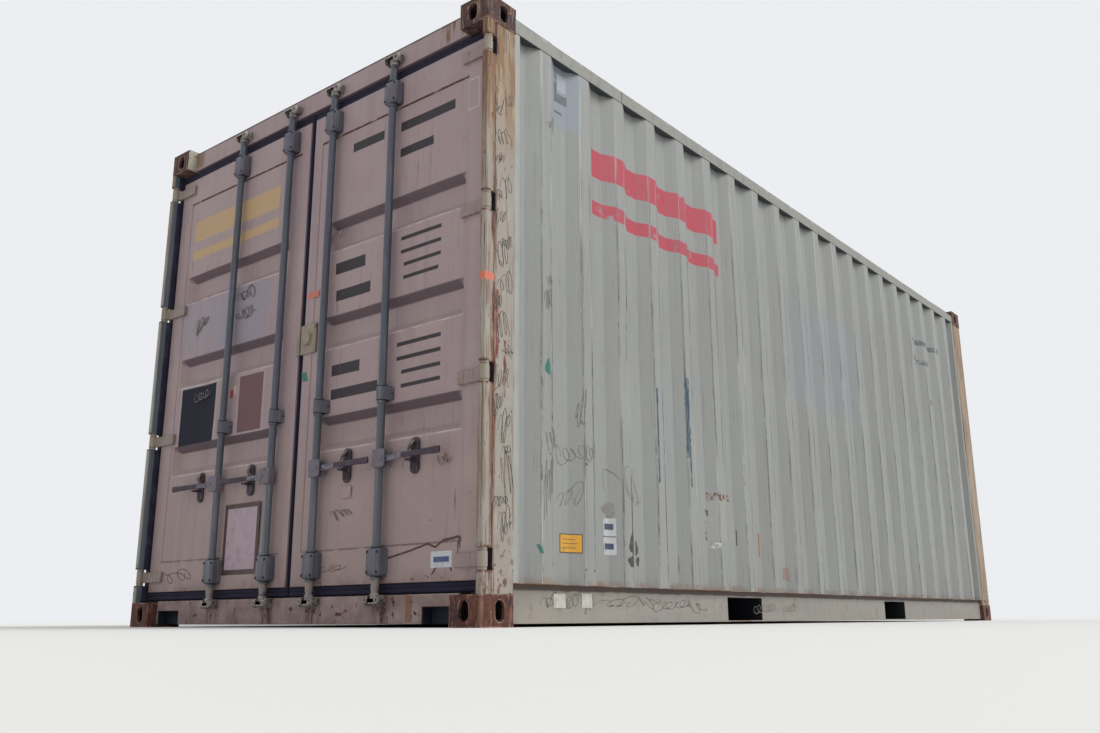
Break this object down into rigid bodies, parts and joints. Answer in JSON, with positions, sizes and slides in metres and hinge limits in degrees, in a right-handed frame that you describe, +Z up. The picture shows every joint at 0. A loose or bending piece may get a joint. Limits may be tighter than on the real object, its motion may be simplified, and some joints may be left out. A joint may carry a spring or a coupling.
{
  "type": "shipping container",
  "caption": "Steel dry cargo box with corrugated walls and roof, corner castings, fork pockets, and two hinged doors closed by four lock rods with handles.",
  "frame": {"origin": "middle of the footprint, level with the undersides of the bottom corner castings", "axes": "+Z up, +Y along the length towards the blind front end, +X across to the right as seen facing the doors; the doors face -Y"},
  "size_m": [2.438, 6.058, 2.591],
  "materials": {
    "casting": "rusted",
    "grey_paint": "semi-matt, chalked",
    "cream_paint": "semi-matt, rusted through",
    "taupe_paint": "semi-matt",
    "lock_steel": "satin",
    "handle_steel": "dull galvanised",
    "hinge_paint": "semi-matt",
    "gasket_rubber": "matt",
    "plywood": "worn",
    "underside_coat": "matt bitumen"
  },
  "bodies": {
    "container": {"rear_bottom_castings": "casting", "rear_top_castings": "casting", "front_bottom_castings": "casting", "front_top_castings": "casting", "right_rear_post": "cream_paint", "left_rear_post": "cream_paint", "front_posts": "cream_paint", "door_header": "taupe_paint", "door_sill": "taupe_paint", "front_end_rails": "cream_paint", "top_side_rails": "grey_paint", "right_bottom_rail": "grey_paint", "left_bottom_rail": "grey_paint", "right_side_wall": "grey_paint", "left_side_wall": "grey_paint", "front_wall": "grey_paint", "roof_panel": "grey_paint", "roof_corner_plates": "grey_paint", "floor_boards": "plywood", "crossmembers": "underside_coat", "fork_pockets": "underside_coat", "cam_keepers": "lock_steel", "hinge_lugs": "cream_paint"},
    "right_door": {"right_door_frame": "taupe_paint", "right_door_panel": "taupe_paint", "right_door_gasket": "gasket_rubber", "right_hinge_blades": "hinge_paint", "right_rod_brackets": "lock_steel", "right_handle_catches": "handle_steel", "right_seal_plate": "taupe_paint"},
    "left_door": {"left_door_frame": "taupe_paint", "left_door_panel": "taupe_paint", "left_door_gasket": "gasket_rubber", "left_hinge_blades": "hinge_paint", "left_rod_brackets": "lock_steel", "left_handle_catches": "handle_steel", "left_seal_plate": "taupe_paint"},
    "right_outer_rod": {"right_outer_rod": "lock_steel"},
    "right_outer_handle": {"right_outer_handle": "handle_steel"},
    "right_inner_rod": {"right_inner_rod": "lock_steel"},
    "right_inner_handle": {"right_inner_handle": "handle_steel"},
    "left_inner_rod": {"left_inner_rod": "lock_steel"},
    "left_inner_handle": {"left_inner_handle": "handle_steel"},
    "left_outer_rod": {"left_outer_rod": "lock_steel"},
    "left_outer_handle": {"left_outer_handle": "handle_steel"}
  },
  "joints": [
    {"name": "right_door_swing", "type": "hinge", "parent": "container", "child": "right_door", "pos_m": [1.201, -3.005, 1.3], "axis": [0, 0, 1], "range_deg": [0, 260]},
    {"name": "left_door_swing", "type": "hinge", "parent": "container", "child": "left_door", "pos_m": [-1.201, -3.005, 1.3], "axis": [0, 0, -1], "range_deg": [0, 260]},
    {"name": "right_outer_rod_turn", "type": "hinge", "parent": "right_door", "child": "right_outer_rod", "pos_m": [0.61, -3.001, 1.31], "axis": [0, 0, 1], "range_deg": [-100, 0]},
    {"name": "right_outer_handle_lift", "type": "hinge", "parent": "right_outer_rod", "child": "right_outer_handle", "pos_m": [0.644, -3.001, 0.673], "axis": [0, 1, 0], "range_deg": [-45, 0]},
    {"name": "right_inner_rod_turn", "type": "hinge", "parent": "right_door", "child": "right_inner_rod", "pos_m": [0.188, -3.001, 1.31], "axis": [0, 0, 1], "range_deg": [-100, 0]},
    {"name": "right_inner_handle_lift", "type": "hinge", "parent": "right_inner_rod", "child": "right_inner_handle", "pos_m": [0.222, -3.001, 0.673], "axis": [0, 1, 0], "range_deg": [-45, 0]},
    {"name": "left_inner_rod_turn", "type": "hinge", "parent": "left_door", "child": "left_inner_rod", "pos_m": [-0.143, -3.001, 1.31], "axis": [0, 0, -1], "range_deg": [-100, 0]},
    {"name": "left_inner_handle_lift", "type": "hinge", "parent": "left_inner_rod", "child": "left_inner_handle", "pos_m": [-0.177, -3.001, 0.673], "axis": [0, -1, 0], "range_deg": [-45, 0]},
    {"name": "left_outer_rod_turn", "type": "hinge", "parent": "left_door", "child": "left_outer_rod", "pos_m": [-0.565, -3.001, 1.31], "axis": [0, 0, -1], "range_deg": [-100, 0]},
    {"name": "left_outer_handle_lift", "type": "hinge", "parent": "left_outer_rod", "child": "left_outer_handle", "pos_m": [-0.599, -3.001, 0.673], "axis": [0, -1, 0], "range_deg": [-45, 0]}
  ]
}
